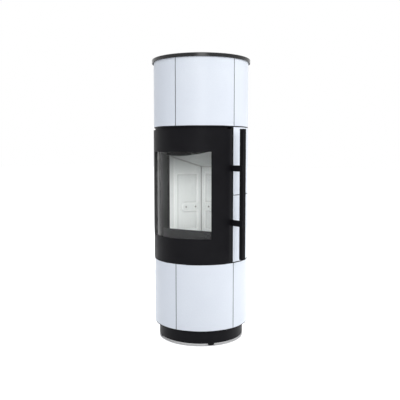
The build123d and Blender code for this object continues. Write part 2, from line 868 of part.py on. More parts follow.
def lining_panel(left_end, right_end, boss_side):
    """Upright board between two plan points, left and right as seen from the fire.

    boss_side is -1 or 1 for a boss that grows out of the left or right border, 0 for one that runs
    right across, and None for a plain board. Boards with a boss stop short of the back corners.
    """
    run = Vector(*right_end) - Vector(*left_end)
    middle = (Vector(*right_end) + Vector(*left_end)) * 0.5
    inwards = Vector(run.Y, -run.X, 0).normalized()
    face_plane = Plane(origin=(middle.X, middle.Y, floor_level), x_dir=(run.X, run.Y, 0), z_dir=inwards)
    board_height = baffle_back_level + baffle_slope * (chamber_back + lining_front) - floor_level
    recess_height = recess_top_level - floor_level - recess_bottom_margin
    recess_width = run.length - 2 * recess_side_margin
    left_trim = lining_corner_gap / 2 if boss_side in (-1, 0) else 0
    right_trim = lining_corner_gap / 2 if boss_side in (0, 1) else 0
    boss_middle = boss_side * (recess_width - boss_length + boss_height / 2) / 2 if boss_side else 0
    boss_span = boss_length + boss_height / 2 if boss_side else 2 * recess_width
    with BuildPart() as board:
        with BuildSketch(face_plane):
            with Locations(((left_trim - right_trim) / 2, board_height / 2)):
                Rectangle(run.length - left_trim - right_trim, board_height)
        extrude(amount=-lining_thickness)
        if boss_side is not None:
            with BuildSketch(face_plane) as recess:
                with Locations((0, recess_bottom_margin + recess_height / 2)):
                    Rectangle(recess_width, recess_height)
                with Locations((boss_middle, boss_level - floor_level)):
                    SlotOverall(boss_span, boss_height, mode=Mode.SUBTRACT)
                corners = [v for v in recess.vertices() if abs(v.X) > recess_width / 2 - cut_overrun]
                fillet(corners, radius=recess_corner_radius)
            extrude(amount=-recess_depth, taper=recess_draft_angle, mode=Mode.SUBTRACT)
            far_edge = boss_side * (run.length / 2 - air_hole_inset)
            hole_xs = (-back_hole_spacing / 2, back_hole_spacing / 2)
            if boss_side:
                hole_xs = (far_edge, far_edge - boss_side * air_hole_spacing)
            with BuildSketch(face_plane):
                with Locations([(x, boss_level - floor_level) for x in hole_xs]):
                    Circle(air_hole_radius)
            extrude(amount=-lining_thickness, mode=Mode.SUBTRACT)
        split(bisect_by=baffle_plane, keep=Keep.BOTTOM)
    return board


back_left = (-chamber_back_half_width, chamber_back)
back_right = (chamber_back_half_width, chamber_back)
side_left = (-chamber_radius, 0)
side_right = (chamber_radius, 0)
finish(lining_panel(side_left, back_left, 1), "lining_left")
finish(lining_panel(back_left, back_right, 0), "lining_back")
finish(lining_panel(back_right, side_right, -1), "lining_right")
front_left = ((-chamber_radius, -lining_front), (-chamber_radius, -lining_front_gap))
front_right = ((chamber_radius, -lining_front_gap), (chamber_radius, -lining_front))
finish(lining_panel(*front_left, None), "lining_front_left")
finish(lining_panel(*front_right, None), "lining_front_right")

with BuildPart() as baffle_plate:
    baffle_outline = chamber_outline(lining_thickness - baffle_fit, floor_level)
    extrude(baffle_outline, amount=upper_baffle_level - floor_level)
    with Locations((0, -baffle_front, floor_level)):
        Box(
            3 * chamber_radius,
            2 * front_inner_radius,
            2 * upper_baffle_level,
            align=(Align.CENTER, Align.MAX, Align.CENTER),
            mode=Mode.SUBTRACT,
        )
    split(bisect_by=baffle_plane, keep=Keep.TOP)
    split(bisect_by=baffle_plane.offset(baffle_thickness), keep=Keep.BOTTOM)
finish(baffle_plate, "baffle_plate")

with BuildPart() as upper_baffle:
    extrude(chamber_outline(shell_growth - floor_fit, upper_baffle_level), amount=upper_baffle_thickness)
    with Locations((0, (upper_baffle_back - upper_baffle_front) / 2, upper_baffle_level)):
        Box(
            3 * chamber_radius,
            upper_baffle_front + upper_baffle_back,
            4 * upper_baffle_thickness,
            mode=Mode.INTERSECT,
        )
finish(upper_baffle, "upper_baffle")

with BuildPart() as air_wash_deflector:
    deflector_outer_radius = front_inner_radius - lining_clearance
    add(
        curved_panel(
            deflector_outer_radius - deflector_thickness,
            deflector_outer_radius,
            -deflector_half_angle,
            deflector_half_angle,
            deflector_low_edge,
            deflector_top_edge,
        )
    )
    with Locations((0, -front_inner_radius, deflector_low_edge + deflector_edge_radius)):
        Cylinder(deflector_edge_radius, 2 * front_inner_radius, rotation=(90, 0, 0), mode=Mode.INTERSECT)
finish(air_wash_deflector, "air_wash_deflector")

with BuildPart() as log_guard:
    with BuildSketch(Plane.XY.offset(floor_level)):
        with Locations((0, -guard_front)):
            Rectangle(2 * guard_half_width, guard_thickness)
        for side in (-1, 1):
            with Locations((side * (guard_half_width - guard_thickness / 2), guard_return / 2 - guard_front)):
                Rectangle(guard_thickness, guard_return)
    extrude(amount=guard_height)
finish(log_guard, "log_guard")

with BuildPart() as ash_pan:
    ash_pan_height = ash_mouth_top - ash_pan_headroom - pan_bottom
    pan_length = ash_pan_front + ash_pan_back
    pan_middle = (ash_pan_back - ash_pan_front) / 2
    with Locations((0, pan_middle, pan_bottom)):
        Box(
            2 * ash_pan_half_width,
            pan_length,
            ash_pan_height,
            align=(Align.CENTER, Align.CENTER, Align.MIN),
        )
    open_face = ash_pan.faces().sort_by(Axis.Z)[-1]
    offset(amount=-ash_pan_wall, openings=open_face)
    with Locations((0, -ash_pan_front, pan_bottom + ash_pan_height)):
        Box(
            ash_pan_half_width,
            ash_pan_lip,
            ash_pan_wall,
            align=(Align.CENTER, Align.MAX, Align.MAX),
        )
finish(ash_pan, "ash_pan")

# Hinge pins and catch springs on the body

hinge_x, hinge_y = around(hinge_radius, -hinge_angle)

with BuildPart() as hinge_pins:
    with Locations((hinge_x, hinge_y, hearth_top)):
        Cylinder(hinge_collar_radius, hinge_collar_height, align=(Align.CENTER, Align.CENTER, Align.MIN))
        Cylinder(hinge_pin_radius, hinge_pin_length, align=(Align.CENTER, Align.CENTER, Align.MIN))
    collar_drop = upper_shelf_bottom - door_top - door_bottom_gap + hinge_collar_height
    with Locations((hinge_x, hinge_y, upper_shelf_bottom)):
        Cylinder(hinge_collar_radius, collar_drop, align=(Align.CENTER, Align.CENTER, Align.MAX))
        Cylinder(
            hinge_pin_radius,
            upper_shelf_bottom - door_top + hinge_pin_length,
            align=(Align.CENTER, Align.CENTER, Align.MAX),
        )
finish(hinge_pins, "hinge_pins")

leaf_offset = catch_ball_radius + catch_leaf_gap + catch_leaf_thickness / 2

with BuildPart() as catch_springs:
    leaf_start_radius = front_outer_radius + catch_base_thickness / 2
    for level in catch_levels:
        with Locations(facing(front_outer_radius + catch_base_thickness, catch_angle, level)):
            Box(
                catch_leaf_width,
                catch_base_thickness,
                2 * leaf_offset + catch_leaf_thickness,
                align=(Align.CENTER, Align.MIN, Align.CENTER),
            )
        for direction in (-1, 1):
            leaf_level = level + direction * leaf_offset
            with Locations(facing(leaf_start_radius, catch_angle, leaf_level)):
                Box(
                    catch_leaf_width,
                    catch_leaf_reach,
                    catch_leaf_thickness,
                    align=(Align.CENTER, Align.MAX, Align.CENTER),
                )
finish(catch_springs, "catch_springs")

# Door

bend_end_radius = door_radius - door_bend_drop
return_first_angle = door_half_angle - door_return_angle

with BuildPart() as door_skin:
    add(
        curved_panel(
            door_inner_radius, door_radius, -door_bend_angle, door_bend_angle, door_bottom, door_top
        )
    )
    for side in (-1, 1):
        with BuildSketch(Plane.XY.offset(door_bottom)):
            with BuildLine():
                Polyline(
                    around(door_radius, side * door_bend_angle),
                    around(bend_end_radius, side * door_half_angle),
                    around(door_return_radius, side * door_half_angle),
                    around(door_return_radius, side * return_first_angle),
                    around(bend_end_radius - door_wall, side * return_first_angle),
                    around(door_inner_radius, side * door_bend_angle),
                    close=True,
                )
            make_face()
        extrude(amount=door_height)
    window_cutter = curved_panel(
        door_inner_radius - cut_overrun,
        door_radius + cut_overrun,
        -window_half_angle,
        window_half_angle,
        window_bottom,
        window_top,
    )
    add(window_cutter, mode=Mode.SUBTRACT)
finish(door_skin, "door_skin")

rope_circle_radius = front_outer_radius + rope_to_front + rope_radius
rope_half_angle = rib_half_angle - rib_width_angle / 2
rope_bottom = rib_bottom + rib_width / 2
rope_top = rib_top - rib_width / 2
groove_half_width = rope_radius + rope_clearance
groove_half_angle = degrees(groove_half_width / rope_circle_radius)
clip_screw_places = [(side * clip_screw_angle, level) for side in (-1, 1) for level in clip_levels]

with BuildPart() as door_inner_frame:
    add(
        curved_panel(
            inner_frame_radius,
            inner_frame_outer_radius,
            -inner_frame_half_angle,
            inner_frame_half_angle,
            inner_frame_bottom,
            inner_frame_top,
        )
    )
    frame_window = curved_panel(
        inner_frame_radius - cut_overrun,
        inner_frame_outer_radius + cut_overrun,
        -glass_half_angle - glass_edge_clearance_angle,
        glass_half_angle + glass_edge_clearance_angle,
        glass_bottom - glass_edge_clearance,
        glass_top + glass_edge_clearance,
    )
    add(frame_window, mode=Mode.SUBTRACT)
    add(
        curved_frame(
            rib_face_radius,
            inner_frame_radius,
            rib_half_angle,
            rib_bottom,
            rib_top,
            rib_width_angle,
            rib_width,
        )
    )
    groove = curved_frame(
        rib_face_radius - cut_overrun,
        rope_circle_radius + groove_half_width,
        rope_half_angle + groove_half_angle,
        rope_bottom - groove_half_width,
        rope_top + groove_half_width,
        2 * groove_half_angle,
        2 * groove_half_width,
    )
    add(groove, mode=Mode.SUBTRACT)
    for angle, level in clip_screw_places:
        with Locations(facing(inner_frame_radius, angle, level)):
            Cylinder(screw_hole_radius, 2 * cut_overrun, rotation=(90, 0, 0), mode=Mode.SUBTRACT)
finish(door_inner_frame, "door_inner_frame")

with BuildPart() as door_gasket:
    for level in (rope_bottom, rope_top):
        start_x, start_y = around(rope_circle_radius, -rope_half_angle)
        rope_end = Plane(
            origin=(start_x, start_y, level), x_dir=(start_x, start_y, 0), z_dir=(-start_y, start_x, 0)
        )
        with BuildSketch(rope_end):
            Circle(rope_radius)
        revolve(axis=Axis.Z, revolution_arc=2 * rope_half_angle)
    for side in (-1, 1):
        corner_x, corner_y = around(rope_circle_radius, side * rope_half_angle)
        with Locations((corner_x, corner_y, rope_bottom)):
            Cylinder(rope_radius, rope_top - rope_bottom, align=(Align.CENTER, Align.CENTER, Align.MIN))
        with Locations((corner_x, corner_y, rope_bottom), (corner_x, corner_y, rope_top)):
            Sphere(rope_radius)
finish(door_gasket, "door_gasket")

with BuildPart() as door_glass:
    add(
        curved_panel(
            glass_inner_radius,
            glass_outer_radius,
            -glass_half_angle,
            glass_half_angle,
            glass_bottom,
            glass_top,
        )
    )
finish(door_glass, "door_glass")

with BuildPart() as glass_tape:
    add(
        curved_frame(
            glass_outer_radius + tape_clearance,
            door_inner_radius - tape_clearance,
            glass_half_angle,
            glass_bottom,
            glass_top,
            glass_overlap_angle - tape_inset_angle,
            glass_overlap - tape_inset,
        )
    )
finish(glass_tape, "glass_tape")

clip_outer_radius = glass_inner_radius - glass_clip_gap
clip_inner_radius = clip_outer_radius - glass_clip_thickness

with BuildPart() as glass_clips:
    for side in (-1, 1):
        arm_angles = sorted((side * glass_clip_first_angle, side * glass_clip_last_angle))
        foot_angles = sorted((side * glass_clip_foot_angle, side * glass_clip_last_angle))
        for level in clip_levels:
            bottom = level - glass_clip_height / 2
            top = level + glass_clip_height / 2
            add(curved_panel(clip_inner_radius, clip_outer_radius, *arm_angles, bottom, top))
            add(curved_panel(clip_outer_radius, inner_frame_radius, *foot_angles, bottom, top))
    for angle, level in clip_screw_places:
        with Locations(facing(clip_outer_radius, angle, level)):
            Cylinder(screw_hole_radius, 2 * cut_overrun, rotation=(90, 0, 0), mode=Mode.SUBTRACT)
finish(glass_clips, "glass_clips")

with BuildPart() as glass_clip_screws:
    clip_head_radius = clip_inner_radius - screw_clearance - clip_screw_head_height / 2
    for angle, level in clip_screw_places:
        with Locations(facing(clip_head_radius, angle, level)):
            Cylinder(clip_screw_head_radius, clip_screw_head_height, rotation=(90, 0, 0))
        with Locations(facing(clip_inner_radius + clip_screw_length / 2 - screw_clearance, angle, level)):
            Cylinder(clip_screw_radius, clip_screw_length, rotation=(90, 0, 0))
        with Locations(facing(clip_head_radius - clip_screw_head_height / 2, angle, level)):
            add(drive_socket(), mode=Mode.SUBTRACT)
finish(glass_clip_screws, "glass_clip_screws")

with BuildPart() as hinge_blocks:
    block_outer_radius = door_inner_radius - inner_frame_fit
    for bottom in (door_bottom, door_top - hinge_block_height):
        with BuildSketch(Plane.XY.offset(bottom)):
            with BuildLine():
                Polyline(
                    around(hinge_block_inner_radius, -hinge_block_first_angle),
                    around(block_outer_radius, -hinge_block_first_angle),
                    around(block_outer_radius, -door_bend_angle),
                    around(block_outer_radius - door_bend_drop, -hinge_block_last_angle),
                    around(hinge_block_inner_radius, -hinge_block_last_angle),
                    close=True,
                )
            make_face()
            with Locations((hinge_x, hinge_y)):
                Circle(hinge_pin_radius + running_clearance, mode=Mode.SUBTRACT)
        extrude(amount=hinge_block_height)
finish(hinge_blocks, "hinge_blocks")

with BuildPart() as catch_studs:
    neck_length = catch_neck_length - weld_gap
    for level in catch_levels:
        with Locations(facing(catch_ball_circle, catch_angle, level)):
            Sphere(catch_ball_radius)
        with Locations(facing(catch_ball_circle + neck_length / 2, catch_angle, level)):
            Cylinder(catch_neck_radius, neck_length, rotation=(90, 0, 0))
finish(catch_studs, "catch_studs")

# Handle

handle_inner_radius = door_radius + handle_gap

with BuildPart() as handle_bar:
    with Locations(facing(handle_inner_radius + handle_depth / 2, handle_angle, handle_bottom)):
        Box(
            handle_width,
            handle_depth,
            handle_top - handle_bottom,
            align=(Align.CENTER, Align.CENTER, Align.MIN),
        )
    fillet(handle_bar.edges(), radius=handle_edge_round)
finish(handle_bar, "handle_bar")

with BuildPart() as handle_brackets:
    bracket_length = handle_inner_radius + handle_depth - door_inner_radius
    bracket_shift = -(handle_width + bracket_thickness) / 2
    for level in bracket_levels:
        with Locations(facing(door_inner_radius, handle_angle, level)):
            with Locations((bracket_shift, -bracket_length / 2, 0)):
                Box(bracket_thickness, bracket_length, bracket_height)
    add(door_skin.part, mode=Mode.SUBTRACT)
finish(handle_brackets, "handle_brackets")
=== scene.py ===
import json
import math

import bpy
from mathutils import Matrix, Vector

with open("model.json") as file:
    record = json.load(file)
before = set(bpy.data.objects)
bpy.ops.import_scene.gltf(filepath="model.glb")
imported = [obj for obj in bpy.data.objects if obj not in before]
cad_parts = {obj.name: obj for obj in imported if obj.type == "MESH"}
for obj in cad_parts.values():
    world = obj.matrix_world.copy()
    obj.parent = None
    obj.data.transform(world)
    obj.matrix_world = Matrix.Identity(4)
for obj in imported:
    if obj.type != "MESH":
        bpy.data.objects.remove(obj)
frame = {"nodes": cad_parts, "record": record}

nodes = frame["nodes"]
scene = bpy.context.scene
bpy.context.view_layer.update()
print("frame loaded:", len(nodes), "nodes")


def startMaterial(name):
    mat = bpy.data.materials.new(name)
    mat.use_nodes = True
    tree = mat.node_tree
    tree.nodes.clear()
    out = tree.nodes.new("ShaderNodeOutputMaterial")
    shader = tree.nodes.new("ShaderNodeBsdfPrincipled")
    tree.links.new(shader.outputs["BSDF"], out.inputs["Surface"])
    return mat, tree, shader


def objectPoint(tree, stretch=(1, 1, 1), turn=(0, 0, 0)):
    # texture space in metres, stretched per axis
    coord = tree.nodes.new("ShaderNodeTexCoord")
    mapping = tree.nodes.new("ShaderNodeMapping")
    mapping.inputs["Scale"].default_value = stretch
    mapping.inputs["Rotation"].default_value = turn
    tree.links.new(coord.outputs["Object"], mapping.inputs["Vector"])
    return mapping.outputs["Vector"]


def noise(tree, scale, detail, stretch=(1, 1, 1)):
    # the looks below give a noise as its scale and detail
    tex = tree.nodes.new("ShaderNodeTexNoise")
    tex.inputs["Scale"].default_value = scale
    tex.inputs["Detail"].default_value = detail
    tree.links.new(objectPoint(tree, stretch), tex.inputs["Vector"])
    return tex.outputs["Fac"]


def spread(tree, value, low, high, fromLow=0.3, fromHigh=0.7):
    # noise runs mostly from 0.3 to 0.7
    node = tree.nodes.new("ShaderNodeMapRange")
    node.inputs["From Min"].default_value = fromLow
    node.inputs["From Max"].default_value = fromHigh
    node.inputs["To Min"].default_value = low
    node.inputs["To Max"].default_value = high
    tree.links.new(value, node.inputs["Value"])
    return node.outputs["Result"]


def blendColours(tree, share, first, second):
    # first and second are colours or sockets
    node = tree.nodes.new("ShaderNodeMix")
    node.data_type = "RGBA"
    tree.links.new(share, node.inputs["Factor"])
    for socketName, value in (("A", first), ("B", second)):
        socket = [s for s in node.inputs if s.name == socketName and s.type == "RGBA"][0]
        if hasattr(value, "is_linked"):
            tree.links.new(value, socket)
        else:
            socket.default_value = (*value, 1)
    return [s for s in node.outputs if s.type == "RGBA"][0]


def addBump(tree, shader, height, strength, distance, base=None):
    # the looks below give a bump as its strength and its height in metres
    node = tree.nodes.new("ShaderNodeBump")
    node.inputs["Strength"].default_value = strength
    node.inputs["Distance"].default_value = distance
    tree.links.new(height, node.inputs["Height"])
    if base is not None:
        tree.links.new(base, node.inputs["Normal"])
    tree.links.new(node.outputs["Normal"], shader.inputs["Normal"])
    return node.outputs["Normal"]


def plainMath(tree, kind, first, second):
    # first and second are numbers or sockets
    node = tree.nodes.new("ShaderNodeMath")
    node.operation = kind
    for index, value in enumerate((first, second)):
        if hasattr(value, "is_linked"):
            tree.links.new(value, node.inputs[index])
        else:
            node.inputs[index].default_value = value
    return node.outputs["Value"]


def vectorMath(tree, kind, first, second=None):
    node = tree.nodes.new("ShaderNodeVectorMath")
    node.operation = kind
    tree.links.new(first, node.inputs[0])
    if second is not None:
        node.inputs[1].default_value = second
    return node


def objectCoord(tree):
    return tree.nodes.new("ShaderNodeTexCoord").outputs["Object"]


def setSockets(shader, **values):
    names = {"metal": "Metallic", "rough": "Roughness", "ior": "IOR",
             "specular": "Specular IOR Level", "coat": "Coat Weight",
             "coatRough": "Coat Roughness", "transmission": "Transmission Weight",
             "sheen": "Sheen Weight"}
    for key, value in values.items():
        shader.inputs[names[key]].default_value = value


def depthUnder(tree, radius):
    # metres from the point out to a radius round the stove's upright axis
    flat = vectorMath(tree, "MULTIPLY", objectCoord(tree), (1, 1, 0))
    length = vectorMath(tree, "LENGTH", flat.outputs["Vector"])
    return plainMath(tree, "SUBTRACT", radius, length.outputs["Value"])


glazeLook = {
    "pale": (0.795, 0.84, 0.905), "deep": (0.775, 0.82, 0.89), "cloud": (7, 4),
    "grain": (420, 2), "grainShare": (0.97, 1.03),
    "sheen": (26, 3), "rough": (0.30, 0.38), "specular": 0.22, "coat": 0.05, "coatRough": 0.16,
    "waves": (16, 2), "waveBump": (0.04, 0.004),
    "pinholes": (900, 1), "pinholeBump": (0.04, 0.0004),
    # the face's radius, and how far under it the painted shade in the joints starts and ends
    "face": 0.256, "jointShadeFrom": 0.0005, "jointShadeTo": 0.0195, "fade": 1.4,
    "jointShade": (0.05, 0.05, 0.05), "clay": (0.33, 0.29, 0.26),
}


def makeGlaze():
    # white glaze with slow waves, faint clouding and a fine grain; past the rounded edges the tile
    # sides in the joints are painted shade, and the backs are bare clay
    look = glazeLook
    mat, tree, shader = startMaterial("glazedTile")
    cloud = spread(tree, noise(tree, *look["cloud"]), 0, 1)
    grain = spread(tree, noise(tree, *look["grain"]), *look["grainShare"])
    tint = tree.nodes.new("ShaderNodeHueSaturation")
    tree.links.new(blendColours(tree, cloud, look["deep"], look["pale"]), tint.inputs["Color"])
    tree.links.new(grain, tint.inputs["Value"])
    depth = depthUnder(tree, look["face"])
    # painted shade: the tile sides in the joints turn near black; deeper, the backs turn to bare
    # clay
    edge = spread(tree, depth, 0, 1, look["jointShadeFrom"], look["fade"] * look["jointShadeFrom"])
    back = spread(tree, depth, 0, 1, look["jointShadeTo"], look["fade"] * look["jointShadeTo"])
    edged = blendColours(tree, edge, tint.outputs["Color"], look["jointShade"])
    tree.links.new(blendColours(tree, back, edged, look["clay"]), shader.inputs["Base Color"])
    sheen = spread(tree, noise(tree, *look["sheen"]), *look["rough"])
    tree.links.new(sheen, shader.inputs["Roughness"])
    slow = addBump(tree, shader, noise(tree, *look["waves"]), *look["waveBump"])
    addBump(tree, shader, noise(tree, *look["pinholes"]), *look["pinholeBump"], slow)
    setSockets(shader, coat=look["coat"], coatRough=look["coatRough"], specular=look["specular"])
    return mat


# one look per paint, and the grain that all of them share
stoveLook = {"dark": (0.0064, 0.0062, 0.0076), "light": (0.0088, 0.0086, 0.0103),
             "rough": (0.40, 0.48), "peel": 0.10, "specular": 0.07}
glossLook = {"dark": (0.006, 0.006, 0.007), "light": (0.010, 0.010, 0.011),
             "rough": (0.20, 0.24), "peel": 0.01, "specular": 0.38}
heatLook = {"dark": (0.007, 0.007, 0.007), "light": (0.012, 0.0117, 0.0114),
            "rough": (0.62, 0.78), "peel": 0.2, "specular": 0.06}
guardLook = {"dark": (0.030, 0.030, 0.031), "light": (0.042, 0.042, 0.043),
             "rough": (0.5, 0.62), "peel": 0.2, "specular": 0.2}
plateLook = {"dark": (0.90, 0.90, 0.905), "light": (0.93, 0.93, 0.935),
             "rough": (0.5, 0.62), "peel": 0.06, "specular": 0.3}
plasticLook = {"dark": (0.004, 0.004, 0.004), "light": (0.007, 0.007, 0.007),
               "rough": (0.5, 0.62), "peel": 0.2, "specular": 0.12}
paintGrain = {"cloud": (11, 5), "sheen": (34, 4), "peel": (1300, 2), "peelHeight": 0.0003}


def makePaint(name, look):
    # baked paint or moulded plastic: fine peel, slightly uneven sheen
    mat, tree, shader = startMaterial(name)
    cloud = spread(tree, noise(tree, *paintGrain["cloud"]), 0, 1)
    colour = blendColours(tree, cloud, look["dark"], look["light"])
    tree.links.new(colour, shader.inputs["Base Color"])
    sheen = spread(tree, noise(tree, *paintGrain["sheen"]), *look["rough"])
    tree.links.new(sheen, shader.inputs["Roughness"])
    peel = noise(tree, *paintGrain["peel"])
    addBump(tree, shader, peel, look["peel"], paintGrain["peelHeight"])
    setSockets(shader, specular=look["specular"])
    return mat


boardLook = {
    "pale": (0.775, 0.80, 0.79), "deep": (0.745, 0.77, 0.76), "mottle": (38, 5),
    "speck": (0.62, 0.61, 0.57), "flakes": 230, "flakeShare": 0.4, "flakeSize": (0.02, 0.13),
    # outer edges get a painted highlight and inner corners painted shade, as far as their reach in
    # metres
    "edgeHighlight": (0.97, 0.975, 0.97), "edgeHighlightReach": 0.0045, "edgeHighlightFull": 0.90,
    "cornerShade": (0.40, 0.40, 0.385), "cornerShadeReach": 0.011, "cornerShadeFull": 0.68,
    "openFace": 0.985, "cornerSamples": 12,
    # the painted shade's share at the top, and the heights that it grows between
    "topShade": 0.30, "topShadeLevels": (0.82, 0.99),
    "stain": (0.30, 0.29, 0.27), "paintedShade": (0.03, 0.03, 0.03),
    # the faces' distance from the stove's axis, the depth behind them where the painted shade
    # starts, the side boards' turn
    "chamber": 0.15588, "holeShadeDepth": 0.0075, "sideTurn": 60,
    "sheen": (60, 3), "rough": (0.50, 0.62), "specular": 0.5,
    "grain": (520, 4), "grainBump": (0.12, 0.0006),
}
# the air holes: how far they lie along their board from its middle, towards the back corner
airHoles = {"level": 0.698, "backBoard": (0.040,), "sideBoard": (0.052, -0.010),
            "stainFrom": 0.0035, "stainTo": 0.0075}


def behindFace(tree):
    # 1 where a point lies deeper than the recesses, such as inside the air holes; there the colour
    # is painted shade
    point = objectCoord(tree)
    deepest = None
    for turn in (-boardLook["sideTurn"], 0, boardLook["sideTurn"]):
        side = math.radians(turn)
        facing = (math.sin(side), math.cos(side), 0)
        depth = vectorMath(tree, "DOT_PRODUCT", point, facing).outputs["Value"]
        deepest = depth if deepest is None else plainMath(tree, "MAXIMUM", deepest, depth)
    holeShadeFrom = boardLook["chamber"] + boardLook["holeShadeDepth"]
    return plainMath(tree, "GREATER_THAN", deepest, holeShadeFrom)


def roundHoles(tree):
    # 1 at an air hole, fading to 0 round it; both sides of the fire at once
    mirrored = vectorMath(tree, "ABSOLUTE", objectCoord(tree)).outputs["Vector"]
    side = math.radians(boardLook["sideTurn"])
    chamber = boardLook["chamber"]
    places = [(along, chamber) for along in airHoles["backBoard"]]
    for along in airHoles["sideBoard"]:
        places.append((chamber * math.sin(side) - along * math.cos(side),
                       chamber * math.cos(side) + along * math.sin(side)))
    nearest = 1.0  # farther than any hole
    for x, y in places:
        reach = vectorMath(tree, "DISTANCE", mirrored, (x, y, airHoles["level"]))
        nearest = plainMath(tree, "MINIMUM", reach.outputs["Value"], nearest)
    return spread(tree, nearest, 1, 0, airHoles["stainFrom"], airHoles["stainTo"])


def nearCorner(tree, reach, full, outer=False):
    # 1 in an inner corner, or on an outer edge, and 0 on an open face
    node = tree.nodes.new("ShaderNodeAmbientOcclusion")
    node.samples = boardLook["cornerSamples"]
    node.inside = outer
    node.inputs["Distance"].default_value = reach
    return spread(tree, node.outputs["AO"], 1, 0, full, boardLook["openFace"])


def makeBoard():
    # pressed mineral board: mottled, with a few dark flakes, painted highlights on its outer edges,
    # painted shade in its corners and towards the top, smoke stains at the air holes and painted
    # shade inside them
    look = boardLook
    mat, tree, shader = startMaterial("fireBoard")
    mottle = spread(tree, noise(tree, *look["mottle"]), 0, 1)
    colour = blendColours(tree, mottle, look["deep"], look["pale"])
    flakes = tree.nodes.new("ShaderNodeTexVoronoi")
    flakes.inputs["Scale"].default_value = look["flakes"]
    tree.links.new(objectPoint(tree), flakes.inputs["Vector"])
    few = spread(tree, flakes.outputs["Distance"], look["flakeShare"], 0, *look["flakeSize"])
    colour = blendColours(tree, few, colour, look["speck"])
    # painted highlight: the outer edges are lightened
    edgeLit = nearCorner(tree, look["edgeHighlightReach"], look["edgeHighlightFull"], outer=True)
    colour = blendColours(tree, edgeLit, colour, look["edgeHighlight"])
    # painted shade: inner corners and recesses are darkened
    cornerShaded = nearCorner(tree, look["cornerShadeReach"], look["cornerShadeFull"])
    colour = blendColours(tree, cornerShaded, colour, look["cornerShade"])
    # painted shade: the boards darken towards the top
    level = tree.nodes.new("ShaderNodeSeparateXYZ")
    tree.links.new(objectPoint(tree), level.inputs["Vector"])
    topShaded = spread(tree, level.outputs["Z"], 0, look["topShade"], *look["topShadeLevels"])
    colour = blendColours(tree, topShaded, colour, look["paintedShade"])
    colour = blendColours(tree, roundHoles(tree), colour, look["stain"])
    # painted shade: near black inside the air holes and anywhere deeper than the recesses
    colour = blendColours(tree, behindFace(tree), colour, look["paintedShade"])
    tree.links.new(colour, shader.inputs["Base Color"])
    sheen = spread(tree, noise(tree, *look["sheen"]), *look["rough"])
    tree.links.new(sheen, shader.inputs["Roughness"])
    addBump(tree, shader, noise(tree, *look["grain"]), *look["grainBump"])
    setSockets(shader, specular=look["specular"])
    return mat


ironLook = {"dark": (0.030, 0.029, 0.028), "light": (0.070, 0.066, 0.062), "cloud": (45, 6),
            "sheen": (90, 3), "rough": (0.5, 0.75), "metal": 0.35, "specular": 0.4,
            "sand": (700, 5), "sandBump": (0.6, 0.0006)}


def makeIron():
    # raw casting: uneven grey with a sandy skin
    look = ironLook
    mat, tree, shader = startMaterial("castIron")
    cloud = spread(tree, noise(tree, *look["cloud"]), 0, 1)
    colour = blendColours(tree, cloud, look["dark"], look["light"])
    tree.links.new(colour, shader.inputs["Base Color"])
    sheen = spread(tree, noise(tree, *look["sheen"]), *look["rough"])
    tree.links.new(sheen, shader.inputs["Roughness"])
    addBump(tree, shader, noise(tree, *look["sand"]), *look["sandBump"])
    setSockets(shader, metal=look["metal"], specular=look["specular"])
    return mat


zincLook = {"dark": (0.30, 0.30, 0.31), "light": (0.38, 0.38, 0.395), "spangle": 120,
            "drawn": (60, 3), "drawnStretch": (1, 1, 30), "rough": (0.28, 0.45),
            "drawnBump": (0.05, 0.0003), "metal": 1.0}


def makeZinc():
    # spangled plating with a drawn grain
    look = zincLook
    mat, tree, shader = startMaterial("zincSteel")
    spangle = tree.nodes.new("ShaderNodeTexVoronoi")
    spangle.inputs["Scale"].default_value = look["spangle"]
    tree.links.new(objectPoint(tree), spangle.inputs["Vector"])
    shade = spread(tree, spangle.outputs["Color"], 0, 1, 0, 1)
    colour = blendColours(tree, shade, look["dark"], look["light"])
    tree.links.new(colour, shader.inputs["Base Color"])
    drawn = noise(tree, *look["drawn"], stretch=look["drawnStretch"])
    tree.links.new(spread(tree, drawn, *look["rough"]), shader.inputs["Roughness"])
    addBump(tree, shader, drawn, *look["drawnBump"])
    setSockets(shader, metal=look["metal"])
    return mat


paneLook = {"ior": 1.18, "tint": (0.98, 0.985, 0.98), "smudge": (5, 2), "rough": (0.0, 0.012)}


def makePane():
    # ceramic glass: mirrors more towards its edges, and lets the lamps reach the firebox
    look = paneLook
    mat, tree, shader = startMaterial("ceramicGlass")
    shader.inputs["Base Color"].default_value = (*look["tint"], 1)
    smudge = spread(tree, noise(tree, *look["smudge"]), *look["rough"])
    tree.links.new(smudge, shader.inputs["Roughness"])
    setSockets(shader, transmission=1.0, ior=look["ior"])
    path = tree.nodes.new("ShaderNodeLightPath")
    clear = tree.nodes.new("ShaderNodeBsdfTransparent")
    mix = tree.nodes.new("ShaderNodeMixShader")
    tree.links.new(path.outputs["Is Shadow Ray"], mix.inputs["Fac"])
    tree.links.new(shader.outputs["BSDF"], mix.inputs[1])
    tree.links.new(clear.outputs["BSDF"], mix.inputs[2])
    tree.links.new(mix.outputs["Shader"], tree.nodes["Material Output"].inputs["Surface"])
    return mat


ropeLook = {"dark": (0.13, 0.13, 0.125), "light": (0.27, 0.27, 0.26), "plait": 137.5,
            "distortion": 1.5, "turn": 0.8, "gap": 0.2, "plaitBump": (0.8, 0.0006),
            "rough": 0.9, "sheen": 0.1}


